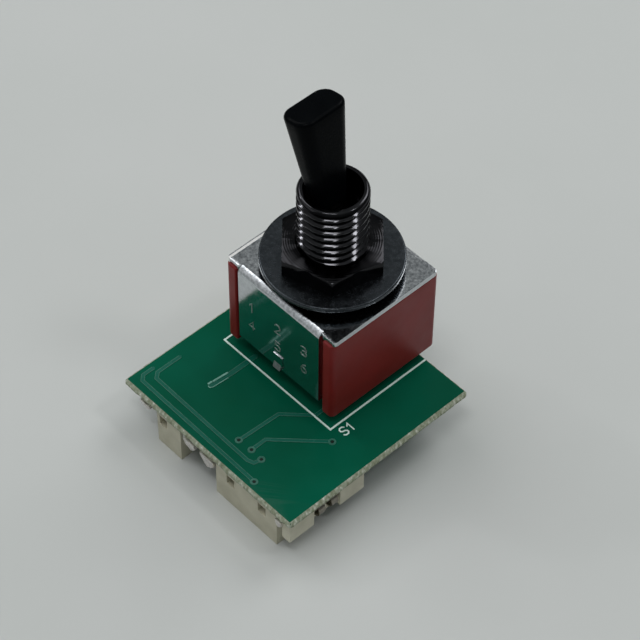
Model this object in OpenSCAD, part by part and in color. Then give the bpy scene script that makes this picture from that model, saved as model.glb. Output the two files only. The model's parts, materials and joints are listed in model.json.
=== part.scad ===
// Miniature two-pole toggle switch on a small circuit board with edge connectors.
// Millimetres, +Z along the bushing, origin on its axis at the top face of the nut.
// X is the way the lever is thrown.

/* [Bushing and hardware] */
// Outer diameter of the bushing thread
thread_d = 6; // [5.8:0.05:6.4]
// Height of the bushing above the top plate
bushing_h = 9.05; // [8.8:0.05:11]
// Wall of the bushing at its mouth
mouth_wall = 0.65; // [0.55:0.05:0.7]
// Chamfers of the bushing mouth
rim_chamfer = 0.3; // [0.1:0.05:0.4]
// Socket of the ball as a share of that core
socket_share = 0.88; // [0.86:0.01:0.9]
// How far the inner lip reaches in over the ball
lip_in = 0.5; // [0.4:0.05:0.55]
// Height of that lip
lip_h = 0.5; // [0.3:0.05:0.6]
// Width of the flange under the top plate, past the thread
flange_w = 1.1; // [0.8:0.05:1.3]
// Thickness of that flange
flange_t = 0.7; // [0.5:0.05:0.9]
// Pitch of the thread, drawn as a row of rings
thread_pitch = 0.75; // [0.5:0.05:1]
// Width of the thread's crests
crest = 0.12; // [0.08:0.02:0.2]
// Slope of the thread's flanks
flank_angle = 30; // [25:1:32]
// Core of the thread as a share of its diameter
core_share = 0.87; // [0.85:0.01:0.9]
// Width across the flats of the nut
nut_af = 8.3; // [7.8:0.1:9]
// Thickness of the nut
nut_t = 1.75; // [1.5:0.05:2.2]
// Slope of the nut's turned chamfer
nut_slope = 15; // [10:1:35]
// Turn of the nut about the bushing
nut_turn = 16.6; // [0:0.1:60]
// Reach of the flat washer past the legs
washer_over = 0.02; // [-1:0.01:0.2]
// Thickness of the flat washer
washer_t = 0.5; // [0.3:0.05:0.8]
// Reach of the toothed lock washer past the corners of the nut
lock_over = 0.08; // [0:0.02:0.4]
// Thickness of the lock washer
lock_t = 0.75; // [0.5:0.05:0.9]
// Number of teeth of the lock washer
lock_teeth = 10; // [6:1:14]
// Clearance of rings on the bushing
ring_gap = 0.05; // [0.02:0.01:0.1]

/* [Lever] */
// Height of the lever's pivot above the top plate
pivot_h = 4.4; // [4.2:0.05:4.8]
// Lean of the lever at each end of its throw
lever_lean = 11; // [8:0.5:11]
// Clearance of the ball in its socket
ball_gap = 0.04; // [0.02:0.01:0.06]
// Length of the lever from the pivot to its top
lever_l = 12.3; // [11:0.1:15]
// Room around the neck inside the lip
neck_gap = 0.55; // [0.5:0.05:0.75]
// Room beside the arm below the ball at full lean
arm_gap = 0.18; // [0.1:0.02:0.3]
// Height of the paddle's lower end above the pivot
paddle_z = 2.5; // [2.4:0.05:2.7]
// Width of the paddle at its top
paddle_w = 5.05; // [4:0.05:5.2]
// Thickness of the paddle at its top
paddle_t = 3.1; // [2.6:0.05:3.2]
// Room at the sides of the paddle's lower end inside the mouth
base_side = 0.9; // [0.85:0.05:1]
// Room at the flat faces of the paddle's lower end inside the mouth
base_front = 1.3; // [1.25:0.05:1.35]
// Corner radius of the paddle at its top
paddle_r = 1.2; // [0.8:0.05:1.3]
// Corner radius of the paddle at its lower end
paddle_base_r = 0.85; // [0.7:0.05:0.95]
// Rounding of the paddle's top edge
paddle_edge = 0.35; // [0.2:0.05:0.5]
// Diameter of the spigot inside the paddle
spigot_d = 1.5; // [1.2:0.05:1.6]
// Length of that spigot
spigot_l = 5; // [3:0.1:7]
// Clearance between pressed pieces
press_gap = 0.02; // [0.01:0.005:0.04]

/* [Switching] */
// Distance between the two poles
pole_pitch = 4.8; // [4.6:0.05:5]
// Distance of the throws from the middle terminal
throw_pitch = 4.7; // [4.5:0.05:4.8]
// Diameter of the plungers
plunger_d = 1.2; // [1:0.05:1.3]
// Distance of the tip centres below the actuator
plunger_out = 0.8; // [0.7:0.05:0.9]
// Length of the plungers above the tip centre
plunger_l = 1.7; // [1.5:0.05:1.8]
// Running clearance of the plungers
plunger_gap = 0.05; // [0.02:0.01:0.08]
// Room between the actuator and the flange
actuator_clear = 0.6; // [0.55:0.05:0.8]
// Width of the actuator along the throw
actuator_w = 2.4; // [2.2:0.05:2.5]
// Wall around the plunger holes
actuator_wall = 0.5; // [0.35:0.05:0.7]
// Wire diameter of the plunger springs
wire_d = 0.18; // [0.14:0.01:0.2]
// Length of the plunger springs
spring_l = 1.2; // [1:0.05:1.4]
// Turns of the plunger springs
spring_turns = 4; // [3:1:5]
// Upward slope of each arm of the rocking contacts
vee_angle = 11.5; // [11:0.1:12]
// Upright thickness of the rocking contacts
rocker_t = 0.3; // [0.2:0.02:0.35]
// Width of the rocking contacts
rocker_w = 2.2; // [1.8:0.1:2.4]
// Reach of the rocking contacts past the throw terminals
rocker_over = 0.45; // [0.4:0.05:0.6]
// Height of the rocking contacts' pivot above the case floor
rocker_clear = 2.14; // [1.6:0.01:2.4]
// Room inside the case past the ends of the rocking contacts
rocker_room = 0.55; // [0.4:0.05:0.7]
// Room between plunger tips and contacts at mid throw
tip_gap = 0.16; // [0.15:0.01:0.2]
// Gap at a closed contact
contact_gap = 0.03; // [0.02:0.01:0.05]

/* [Case] */
// Step from the legs in to the case
case_in = 0.05; // [0:0.01:0.1]
// Wall thickness of the case
case_wall = 0.8; // [0.7:0.05:0.9]
// Thickness of the case floor
case_floor = 0.5; // [0.45:0.05:0.9]
// Corner radius of the case
case_r = 0.5; // [0.3:0.05:0.9]
// Depth of the sealing compound under the floor
seal_t = 0.7; // [0.3:0.05:0.8]

/* [Top plate] */
// Overhang of the plate past the case along the throw
plate_over = 0; // [0:0.05:0.4]
// Size over both legs
plate_y = 12.2; // [12.2:0.05:12.6]
// Thickness of the sheet
plate_t = 0.5; // [0.4:0.05:0.6]
// Outer radius of the bends
bend_r = 0.6; // [0.55:0.05:0.8]
// Corner radius of the plate
plate_r = 0.3; // [0.1:0.05:0.5]
// Step from the legs in to the corners of the plate
corner_in = 0.25; // [0.1:0.05:0.5]
// Width of the legs
leg_w = 9.8; // [9:0.1:10.2]
// Distance of the legs' ends from the bottom of the case
leg_short = 1.05; // [0.9:0.05:1.6]
// Size of the pressed mark at the foot of each leg
mark_w = 1.1; // [0.4:0.05:1.4]
// Depth of that mark
mark_t = 0.1; // [0.05:0.05:0.2]
// Room beside the legs in the case
leg_room = 0.35; // [0.1:0.05:0.5]
// Clearance of the legs in the case
leg_gap = 0.05; // [0.03:0.01:0.08]

/* [Terminals] */
// Thickness of the terminals along the throw
term_t = 0.8; // [0.6:0.05:0.9]
// Width of the terminals inside the case
term_w = 2; // [1.6:0.1:2.2]
// Width of the terminal pins through the board
term_pin = 0.8; // [0.6:0.05:0.9]
// Length of the pins under the board
term_tail = 1.4; // [0.8:0.1:1.8]
// Height of the case above the board
stand_off = 1; // [0.8:0.1:2.2]
// Clearance of the terminals in their slots
slot_gap = 0.02; // [0.01:0.005:0.04]
// Width of the solder rim around the holes
solder_rim = 0.25; // [0.2:0.01:0.3]
// Height of the solder cones
solder_h = 0.9; // [0.5:0.1:1.1]

/* [Circuit board] */
// Size of the board across the throw
board_y = 20.1; // [20:0.1:24]
// Distance from the bushing axis to the board's right edge
board_right = 11.35; // [11.2:0.05:12]
// Distance from the bushing axis to the board's far edge
board_back = 4.85; // [4.5:0.05:6]
// Thickness of the board
board_t = 0.8; // [0.7:0.1:1.6]
// Distance that the broken web of the cut edges stands out
score_w = 0.3; // [0.1:0.05:0.4]
// Depth of the sloped cut above and below that web
score_d = 0.3; // [0.1:0.05:0.3]
// Clearance of the terminal pins in their holes
hole_gap = 0.085; // [0.05:0.005:0.12]

/* [Connectors] */
// Pin spacing of the connectors
conn_pitch = 1.5; // [1.4:0.05:1.6]
// Number of pins in the short connector
short_pins = 2; // [2:1:3]
// Number of pins in each long connector
long_pins = 5; // [4:1:5]
// Depth of the connector housings
conn_d = 3.3; // [3.1:0.05:3.35]
// Height of the connector housings
conn_h = 3.95; // [3.5:0.05:4.5]
// Wall thickness of the housings
conn_wall = 0.5; // [0.4:0.05:0.6]
// Thickness of the housing floor against the board
conn_base = 1.7; // [1.6:0.05:1.9]
// Width of the windows in the outer wall
window_w = 0.95; // [0.6:0.05:1]
// Height of those windows
window_h = 1.1; // [0.6:0.05:1.15]
// Depth of those windows
window_d = 1.2; // [0.6:0.05:1.3]
// Distance of the windows from the ends of the housing
window_in = 1.35; // [1.2:0.05:1.4]
// Distance of the single window from the end of the short housing
window_short = 0.3; // [0.2:0.05:0.4]
// Distance of the windows from the board
window_z = 0.35; // [0.2:0.05:0.45]
// Width of the key notch in the inner wall
notch_w = 1.4; // [1:0.1:1.6]
// Diameter of the connector pins
pin_d = 0.5; // [0.4:0.02:0.6]
// Free end of the pins inside the mouth
pin_in = 0.5; // [0.3:0.05:0.8]
// Thickness of the solder tabs
tab_t = 0.2; // [0.15:0.05:0.25]
// Width of the solder tabs
tab_w = 1.6; // [1:0.1:2]
// Length of the soldered foot
tab_l = 0.6; // [0.4:0.05:0.8]
// Height of the upright part of the tabs
tab_h = 1.2; // [0.8:0.05:1.5]
// Length of the longer feet on the open sides
ear_l = 1.3; // [1:0.05:1.5]
// Height of the solder bank over the inner half of the feet
bank_h = 0.7; // [0.4:0.05:0.8]
// Distance of the tabs from the outer wall
tab_in = 0.15; // [0.1:0.05:0.4]
// Space between the front connector's tab and the edge block
corner_gap = 0.05; // [0.03:0.01:0.2]
// Space between the two connectors on the near edge
conn_space = 4.5; // [3.2:0.1:4.6]
// Space between the solder and the connector on the left edge
conn_clear = 0.15; // [0.1:0.05:0.5]
// Distance of the left connector's tab from the far edge
conn_4_in = 0.3; // [0.1:0.05:0.6]
// Length of the edge block
block_l = 8.4; // [8:0.1:8.8]
// Depth of the edge block
block_d = 0.95; // [0.8:0.05:1.1]
// Height of the edge block
block_h = 2.1; // [1.6:0.05:2.2]
// Width of the gap in the edge block
block_gap = 2.9; // [2.6:0.1:3.2]
// Thickness of the web left behind that gap
block_web = 0.4; // [0.3:0.05:0.5]
// Radius of the curved spring contacts in the gap
leaf_r = 0.6; // [0.5:0.05:0.65]
// Thickness of those contacts
leaf_t = 0.15; // [0.1:0.01:0.18]
// Width of those contacts
leaf_w = 0.7; // [0.5:0.05:0.9]

/* [Hidden] */
$fn = 48;
eps = 0.1;
rock_angle = vee_angle - lever_lean / 2;
core_r = core_share * thread_d / 2;
mouth_d = thread_d - 2 * mouth_wall;
flank = (thread_d / 2 - core_r) * tan(flank_angle);
groove_w = thread_pitch - crest;
flange_d = thread_d + 2 * flange_w;
socket_r = socket_share * core_r;
ball_d = 2 * (socket_r - ball_gap);
lip_d = ball_d - 2 * lip_in;
neck_d = lip_d - 2 * neck_gap;
paddle_base_w = mouth_d - 2 * base_side;
paddle_base_t = mouth_d - 2 * base_front;
nut_r = nut_af / sqrt(3);
lock_d = 2 * (nut_r + lock_over);
washer_d = plate_y + 2 * washer_over;
arm_l = pivot_h + plate_t + flange_t;
arm_d = 2 * (socket_r - arm_l * tan(lever_lean) - arm_gap) * cos(lever_lean);
actuator_top = arm_l + actuator_clear;
actuator_h = actuator_wall + spring_l + plunger_l - plunger_out;
plunger_reach = actuator_top + actuator_h + plunger_out;
rocker_l = 2 * (throw_pitch + rocker_over);
room_x = rocker_l + 2 * rocker_room;
case_x = room_x + 2 * case_wall;
case_y = plate_y - 2 * case_in;
plate_x = case_x + 2 * plate_over;
plate_z = -lock_t - washer_t - nut_t;
under_z = plate_z - plate_t;
flange_z = under_z - flange_t;
pivot_z = plate_z + pivot_h;
mouth_z = plate_z + bushing_h;
thread_turns = floor((mouth_z - rim_chamfer - crest) / thread_pitch);
lip_z = pivot_z + sqrt(socket_r * socket_r - lip_d * lip_d / 4);
vee_z = pivot_z - plunger_reach - plunger_d / 2 - tip_gap;
rock_z = vee_z - rocker_t;
floor_z = rock_z - rocker_clear;
case_z = floor_z - case_floor - seal_t;
case_h = under_z - case_z;
leg_l = plate_t + case_h - leg_short;
wall_y = plate_y / 2 - plate_t - leg_gap - case_wall;
board_z = case_z - stand_off;
back_z = board_z - board_t;
hole_d = sqrt(2) * term_pin + 2 * hole_gap;
solder_d = hole_d + 2 * solder_rim;
board_left = -throw_pitch - solder_d / 2 - conn_clear - conn_d;
board_x = board_right - board_left;
board_near = board_back - board_y;
common_top = rock_z - contact_gap;
throw_in = throw_pitch - term_t / 2;
throw_top = rock_z + throw_in * tan(vee_angle - rock_angle) - contact_gap;
spring_r = plunger_d / 2 - wire_d / 2;
mouth_depth = conn_h - conn_base;
leaf_z = back_z - leaf_r - leaf_t;
conn_2_right = board_right - block_d - corner_gap - tab_l;
conn_1_right = conn_2_right - conn_l(long_pins) - conn_space;
conn_4_y = board_back - conn_l(long_pins) / 2 - tab_l - conn_4_in;
score_angle = atan2(score_d, score_w);
tab_y = (tab_w - conn_d) / 2 + tab_in;

// Upright box with rounded corners, standing on z = 0
module rounded_box(x, y, h, r) {
    translate([-x / 2 + r, -y / 2, 0]) cube([x - 2 * r, y, h]);
    translate([-x / 2, -y / 2 + r, 0]) cube([x, y - 2 * r, h]);
    for (sx = [-1, 1], sy = [-1, 1])
        translate([sx * (x / 2 - r), sy * (y / 2 - r), 0]) cylinder(h = h, r = r);
}

module slab(x, y, h) {
    translate([-x / 2, -y / 2, 0]) cube([x, y, h]);
}

module ring(d_out, d_in, h) {
    difference() {
        cylinder(h = h, d = d_out);
        translate([0, 0, -eps]) cylinder(h = h + 2 * eps, d = d_in);
    }
}

module at_lever() {
    translate([0, 0, pivot_z]) rotate([0, -lever_lean, 0]) children();
}

module at_terminals() {
    for (px = [-1, 0, 1], sy = [-1, 1])
        translate([px * throw_pitch, sy * pole_pitch / 2, 0]) children();
}

// Sloped cut along one edge of the board, beyond a lacquered face that ends at x = reach
module score_cut(reach, along) {
    translate([reach, 0, board_t / 2])
        rotate([0, score_angle, 0])
            translate([board_t, 0, 0]) slab(2 * board_t, along, board_t);
}

// Board snapped out of a larger sheet, so that a thin web stands out along its edges
module circuit_board() {
    color([0.02, 0.25, 0.15])
    difference() {
        translate([board_right - board_x / 2, board_back - board_y / 2, back_z + board_t / 2])
            difference() {
                translate([0, 0, -board_t / 2]) slab(board_x + 2 * score_w, board_y + 2 * score_w, board_t);
                for (side = [0, 1], far = [0, 1], low = [0, 1])
                    rotate([0, 0, 180 * far])
                        mirror([0, 0, low]) {
                            if (side == 0) score_cut(board_x / 2, 2 * board_y);
                            if (side == 1) rotate([0, 0, 90]) score_cut(board_y / 2, 2 * board_x);
                        }
            }
        at_terminals() translate([0, 0, back_z - eps]) cylinder(h = board_t + 2 * eps, d = hole_d);
    }
}

// Open-topped box with a rebate for the legs on two sides, an arch below each and a pocket for the seal
module case() {
    color([0.35, 0.05, 0.05])
    difference() {
        translate([0, 0, case_z]) rounded_box(case_x, case_y, case_h, case_r);
        translate([0, 0, floor_z]) slab(room_x, 2 * wall_y, case_h);
        translate([0, 0, case_z - eps])
            slab(room_x, 2 * wall_y, seal_t + eps);
        for (sy = [-1, 1])
            translate([0, sy * plate_y / 2, 0]) {
                translate([0, 0, plate_z - leg_l - leg_gap])
                    slab(leg_w + 2 * leg_room, 2 * (plate_t + leg_gap), case_h);
                translate([0, 0, case_z - eps]) slab(leg_w + 2 * leg_room, plate_y - 2 * wall_y, leg_short + eps);
            }
        at_terminals() translate([0, 0, case_z]) slab(term_t + 2 * slot_gap, term_w + 2 * slot_gap, case_h);
    }
}

// Sheet steel bridge: plate with a hole, two folded legs and a pressed mark on each
module frame() {
    color([0.7, 0.7, 0.7])
    difference() {
        union() {
            translate([0, 0, under_z]) rounded_box(plate_x, plate_y - 2 * bend_r, plate_t, plate_r);
            translate([0, 0, under_z]) slab(leg_w, plate_y - 2 * bend_r, plate_t);
            for (sx = [-1, 1])
                translate([sx * (plate_x + leg_w) / 4, 0, under_z])
                    rounded_box((plate_x - leg_w) / 2, plate_y - 2 * corner_in, plate_t, plate_r);
            for (sy = [-1, 1]) {
                translate([-leg_w / 2, sy * (plate_y / 2 - bend_r), plate_z - bend_r])
                    rotate([0, 90, 0]) cylinder(h = leg_w, r = bend_r);
                translate([0, sy * (plate_y - plate_t) / 2, plate_z - leg_l])
                    slab(leg_w, plate_t, leg_l - bend_r);
                translate([0, sy * plate_y / 2, plate_z - leg_l + mark_w / 2])
                    slab(mark_w, 2 * mark_t, mark_w);
            }
        }
        translate([0, 0, under_z - leg_l]) slab(leg_w + 2 * eps, plate_y - 2 * plate_t, leg_l);
        translate([0, 0, under_z - eps])
            cylinder(h = plate_t + 2 * eps, d = thread_d + 2 * ring_gap);
    }
}

// One groove of the thread, standing on z = 0
module thread_groove() {
    outer = thread_d / 2;
    rotate_extrude()
        polygon([[core_r, flank], [core_r, groove_w - flank], [outer, groove_w],
            [outer + eps, groove_w], [outer + eps, 0], [outer, 0]]);
}

// Threaded barrel with a flange below and an inner lip over the ball
module bushing() {
    color([0.08, 0.08, 0.08])
    difference() {
        union() {
            translate([0, 0, flange_z]) cylinder(h = flange_t, d = flange_d);
            translate([0, 0, flange_z]) cylinder(h = -flange_z, r = core_r);
            cylinder(h = mouth_z - rim_chamfer, d = thread_d);
            translate([0, 0, mouth_z - rim_chamfer])
                cylinder(h = rim_chamfer, d1 = thread_d, d2 = thread_d - 2 * rim_chamfer);
        }
        for (k = [0 : thread_turns - 1])
            translate([0, 0, k * thread_pitch + crest]) thread_groove();
        translate([0, 0, flange_z - eps]) cylinder(h = lip_z - flange_z + eps, r = socket_r);
        translate([0, 0, flange_z]) cylinder(h = mouth_z - flange_z, d = lip_d);
        translate([0, 0, lip_z + lip_h]) cylinder(h = mouth_z - lip_z, d = mouth_d);
        translate([0, 0, mouth_z - rim_chamfer / 2])
            cylinder(h = rim_chamfer, d1 = mouth_d, d2 = mouth_d + 2 * rim_chamfer);
    }
}

module lock_washer() {
    color([0.12, 0.12, 0.12])
    translate([0, 0, plate_z])
        difference() {
            ring(lock_d, thread_d + 2 * ring_gap, lock_t);
            for (i = [0 : lock_teeth - 1])
                rotate([0, 0, i * 360 / lock_teeth])
                    translate([lock_d / 2, 0, -eps]) slab(lock_d / 8, lock_d / 8, lock_t + 2 * eps);
        }
}

module washer() {
    color([0.1, 0.1, 0.1])
    translate([0, 0, plate_z + lock_t]) ring(washer_d, thread_d + 2 * ring_gap, washer_t);
}

// Six-sided nut with a turned chamfer at its top
module hex_nut() {
    color([0.08, 0.08, 0.08])
    translate([0, 0, -nut_t])
        difference() {
            intersection() {
                rotate([0, 0, nut_turn]) cylinder(h = nut_t, r = nut_r, $fn = 6);
                cylinder(h = nut_t, r1 = nut_af / 2 + nut_t / tan(nut_slope), r2 = nut_af / 2);
            }
            translate([0, 0, -eps]) cylinder(h = nut_t + 2 * eps, r = core_r + ring_gap);
        }
}

module lever() {
    color([0.3, 0.3, 0.3])
    at_lever() {
        sphere(d = ball_d);
        cylinder(h = paddle_z - press_gap, d = neck_d);
        cylinder(h = paddle_z + spigot_l, d = spigot_d);
        translate([0, 0, -actuator_top + press_gap]) cylinder(h = actuator_top - press_gap, d = arm_d);
        translate([0, 0, -actuator_top - actuator_h / 2]) cylinder(h = actuator_h, d = spigot_d);
    }
}

// One layer of the paddle: a flat rounded rectangle
module paddle_layer(z, w, t, r) {
    for (sx = [-1, 1], sy = [-1, 1])
        translate([sx * (t / 2 - r), sy * (w / 2 - r), z])
            cylinder(h = press_gap, r = r);
}

// Wedge-shaped grip pressed on the lever's upper spigot
module paddle() {
    half_edge = paddle_edge / 2;
    color([0.05, 0.05, 0.05])
    at_lever()
        difference() {
            hull() {
                paddle_layer(paddle_z, paddle_base_w, paddle_base_t, paddle_base_r);
                paddle_layer(lever_l - paddle_edge, paddle_w, paddle_t, paddle_r);
                paddle_layer(lever_l - press_gap, paddle_w - paddle_edge, paddle_t - paddle_edge,
                    paddle_r - half_edge);
            }
            translate([0, 0, paddle_z - eps])
                cylinder(h = spigot_l + eps + press_gap, d = spigot_d + 2 * press_gap);
        }
}

// Moulded cross-bar on the lower end of the lever, with a blind hole for each plunger
module actuator() {
    bar_y = pole_pitch + plunger_d + 2 * (plunger_gap + actuator_wall);
    color([0.8, 0.8, 0.75])
    at_lever()
        translate([0, 0, -actuator_top - actuator_h])
            difference() {
                slab(actuator_w, bar_y, actuator_h);
                translate([0, 0, actuator_h / 2 - press_gap])
                    cylinder(h = actuator_h, d = spigot_d + 2 * press_gap);
                for (sy = [-1, 1])
                    translate([0, sy * pole_pitch / 2, -eps])
                        cylinder(h = actuator_h - actuator_wall + eps, d = plunger_d + 2 * plunger_gap);
            }
}

module plunger(sy) {
    color([0.85, 0.85, 0.8])
    at_lever()
        translate([0, sy * pole_pitch / 2, -plunger_reach]) {
            sphere(d = plunger_d);
            cylinder(h = plunger_l, d = plunger_d);
        }
}

// Coil spring drawn as closed turns on a thin sleeve
module plunger_spring(sy) {
    step = (spring_l - wire_d - 2 * press_gap) / (spring_turns - 1);
    color([0.6, 0.6, 0.6])
    at_lever()
        translate([0, sy * pole_pitch / 2, -plunger_reach + plunger_l + press_gap + wire_d / 2])
            rotate_extrude() {
                for (k = [0 : spring_turns - 1])
                    translate([spring_r, k * step]) circle(d = wire_d, $fn = 16);
                translate([spring_r - wire_d / 4, 0]) square([wire_d / 2, spring_l - wire_d - 2 * press_gap]);
            }
}

// See-saw contact strip with both arms sloping up from its middle
module rocker(sy) {
    tip = [rocker_l / 2, rocker_l / 2 * tan(vee_angle)];
    color([0.8, 0.7, 0.4])
    translate([0, sy * pole_pitch / 2 + rocker_w / 2, rock_z])
        rotate([90, rock_angle, 0])
            linear_extrude(height = rocker_w)
                polygon([[0, 0], tip, tip + [0, rocker_t], [0, rocker_t],
                    [-tip[0], tip[1] + rocker_t], [-tip[0], tip[1]]]);
}

// Blade from the contact down to the board, with a square pin through the board
module terminal(px, sy, top) {
    color([0.75, 0.75, 0.7])
    translate([px * throw_pitch, sy * pole_pitch / 2, 0]) {
        translate([0, 0, board_z]) slab(term_t, term_w, top - board_z);
        translate([0, 0, back_z - term_tail]) slab(term_pin, term_pin, board_t + term_tail + eps);
    }
}

module seal() {
    color([0.1, 0.1, 0.1])
    translate([0, 0, case_z])
        difference() {
            slab(room_x, 2 * wall_y, seal_t);
            at_terminals() translate([0, 0, -eps])
                slab(term_t + 2 * slot_gap, term_w + 2 * slot_gap, seal_t + 2 * eps);
        }
}

module solder_joints() {
    color([0.75, 0.75, 0.75])
    at_terminals()
        translate([0, 0, back_z - solder_h])
            difference() {
                cylinder(h = solder_h, d1 = hole_d, d2 = solder_d);
                translate([0, 0, -eps])
                    slab(term_pin + 2 * slot_gap, term_pin + 2 * slot_gap, solder_h + 2 * eps);
            }
}

function conn_l(n) = n * conn_pitch;

// Places of the full-height connectors: middle of the housing and turn about Z
module at_conn(i) {
    if (i == 1) translate([conn_1_right - conn_l(short_pins) / 2, board_near + conn_d / 2, back_z]) children();
    if (i == 2) translate([conn_2_right - conn_l(long_pins) / 2, board_near + conn_d / 2, back_z]) children();
    if (i == 4) translate([board_left + conn_d / 2, conn_4_y, back_z]) rotate([0, 0, -90]) children();
}

// Shrouded header, mouth down, with windows in the outer wall and a key notch inside
module housing(i, n) {
    l = conn_l(n);
    window_x = l / 2 - window_w / 2 - (n == short_pins ? window_short : window_in);
    color([0.85, 0.82, 0.72])
    at_conn(i)
        difference() {
            translate([0, 0, -conn_h]) slab(l, conn_d, conn_h);
            translate([0, 0, -conn_h - eps])
                slab(l - 2 * conn_wall, conn_d - 2 * conn_wall, mouth_depth + eps);
            translate([0, conn_d / 2, -conn_h - eps]) slab(notch_w, 2 * conn_wall + eps, mouth_depth + eps);
            for (sx = n == short_pins ? [-1] : [-1, 1])
                translate([sx * window_x, -conn_d / 2, -window_z - window_h])
                    slab(window_w, 2 * window_d, window_h);
            for (k = [0 : n - 1])
                translate([(k - (n - 1) / 2) * conn_pitch, 0, -conn_h])
                    cylinder(h = conn_h + eps, d = pin_d + 2 * slot_gap);
        }
}

module pins(i, n) {
    color([0.8, 0.75, 0.5])
    at_conn(i)
        for (k = [0 : n - 1])
            translate([(k - (n - 1) / 2) * conn_pitch, 0, -conn_h + pin_in])
                cylinder(h = conn_h - pin_in, d = pin_d);
}

// One bent solder tab on a housing end at x = 0, with solder banked over its foot
module tab(l) {
    translate([l / 2, tab_y, -tab_t]) slab(l, tab_w, tab_t);
    translate([l / 4, tab_y, -bank_h]) slab(l / 2, tab_w, bank_h);
    translate([tab_t / 2, tab_y, -tab_h]) slab(tab_t, tab_w, tab_h);
}

// Tabs at both ends of a housing, with feet of the given lengths
module tabs(i, n, left_l, right_l) {
    color([0.75, 0.75, 0.75])
    at_conn(i) {
        translate([conn_l(n) / 2, 0, 0]) tab(right_l);
        translate([-conn_l(n) / 2, 0, 0]) mirror([1, 0, 0]) tab(left_l);
    }
}

// Low block on the right edge with an open gap for spring contacts
module edge_block() {
    color([0.85, 0.82, 0.72])
    translate([board_right - block_d / 2, board_near + block_l / 2, back_z - block_h])
        difference() {
            slab(block_d, block_l, block_h);
            translate([block_web, 0, -eps]) slab(block_d, block_gap, block_h + 2 * eps);
        }
}

// Curved leaf contacts in the gap of the edge block
module edge_contacts() {
    color([0.8, 0.8, 0.75])
    for (sy = [-1, 1])
        translate([board_right - block_d + block_web, board_near + block_l / 2 + sy * leaf_w, leaf_z])
            rotate([90, 0, 0])
                translate([0, 0, -leaf_w / 2])
                    intersection() {
                        ring(2 * (leaf_r + leaf_t), 2 * leaf_r, leaf_w);
                        translate([0, -2 * leaf_r, -eps])
                            cube([2 * leaf_r, 4 * leaf_r, leaf_w + 2 * eps]);
                    }
}

circuit_board();
case();
frame();
bushing();
lock_washer();
washer();
hex_nut();
lever();
paddle();
actuator();
plunger(-1);  // plunger_1
plunger(1);  // plunger_2
plunger_spring(-1);  // spring_1
plunger_spring(1);  // spring_2
rocker(-1);  // rocker_1
rocker(1);  // rocker_2
terminal(0, -1, common_top);  // common_1
terminal(0, 1, common_top);  // common_2
terminal(-1, -1, throw_top);  // throw_1a
terminal(1, -1, throw_top);  // throw_1b
terminal(-1, 1, throw_top);  // throw_2a
terminal(1, 1, throw_top);  // throw_2b
seal();
solder_joints();
housing(1, short_pins);  // housing_1
housing(2, long_pins);  // housing_2
housing(4, long_pins);  // housing_4
pins(1, short_pins);  // pins_1
pins(2, long_pins);  // pins_2
pins(4, long_pins);  // pins_4
tabs(1, short_pins, ear_l, ear_l);  // tabs_1
tabs(2, long_pins, ear_l, tab_l);  // tabs_2
tabs(4, long_pins, tab_l, tab_l);  // tabs_4
edge_block();
edge_contacts();
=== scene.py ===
import json
import math

import bmesh
import bpy
from mathutils import Matrix, Vector
from mathutils.noise import noise as wave_noise


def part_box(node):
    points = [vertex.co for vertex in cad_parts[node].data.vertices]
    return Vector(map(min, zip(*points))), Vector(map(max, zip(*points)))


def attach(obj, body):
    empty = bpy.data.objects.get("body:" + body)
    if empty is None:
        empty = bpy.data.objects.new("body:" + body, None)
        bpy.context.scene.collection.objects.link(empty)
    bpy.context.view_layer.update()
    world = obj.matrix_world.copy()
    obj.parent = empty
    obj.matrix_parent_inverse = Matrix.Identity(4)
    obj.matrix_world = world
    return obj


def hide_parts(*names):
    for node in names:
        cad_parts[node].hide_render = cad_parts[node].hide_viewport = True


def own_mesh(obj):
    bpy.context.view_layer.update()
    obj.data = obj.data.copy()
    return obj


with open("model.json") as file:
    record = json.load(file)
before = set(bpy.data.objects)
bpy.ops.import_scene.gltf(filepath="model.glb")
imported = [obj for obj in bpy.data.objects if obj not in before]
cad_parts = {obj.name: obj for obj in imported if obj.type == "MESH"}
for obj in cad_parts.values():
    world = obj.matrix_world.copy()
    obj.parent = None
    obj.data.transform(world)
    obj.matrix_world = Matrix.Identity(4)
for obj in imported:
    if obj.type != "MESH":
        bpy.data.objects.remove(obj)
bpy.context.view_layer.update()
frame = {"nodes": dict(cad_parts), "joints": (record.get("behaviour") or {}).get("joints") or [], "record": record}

MM = 0.001
NODES = frame["nodes"]
BODY = {n: b for b, ns in frame["record"]["behaviour"]["bodies"].items() for n in ns}
SLOT = {s["node"]: s["material_slot"] for s in frame["record"]["subparts"]}
JOINT = {j["name"]: j for j in frame["joints"]}
scene = bpy.context.scene


def low_mm(node, axis):
    """A node's lowest coordinate along an axis, in millimetres."""
    return getattr(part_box(node)[0], axis) / MM


def high_mm(node, axis):
    """A node's highest coordinate along an axis, in millimetres."""
    return getattr(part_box(node)[1], axis) / MM


# Places that the frame gives, in millimetres, and the lever's lean at rest, in degrees
BOARD_TOP = high_mm("circuit_board", "z")
BOARD_FRONT = low_mm("circuit_board", "y")
BOARD_BACK = high_mm("circuit_board", "y")
TABLE = low_mm("housing_2", "z")
PIVOT = JOINT["lever_throw"]["pos_m"][2] / MM
LEAN = JOINT["lever_throw"]["range_deg"][1] / 2


# Shader nodes
# Most values of a noise texture lie between these two
NOISE_LOW = 0.3
NOISE_HIGH = 0.7
# Gloss varies on a finer pattern than colour
GLOSS_FINER = 1.7
# Colour sockets of the Mix node
MIX_FIRST = 6
MIX_SECOND = 7
MIX_RESULT = 2
# Radians that the wave texture turns through in one unit, at scale 1
WAVE_RATE = 20
BLACK = (0, 0, 0)
WHITE = (1, 1, 1)


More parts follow.
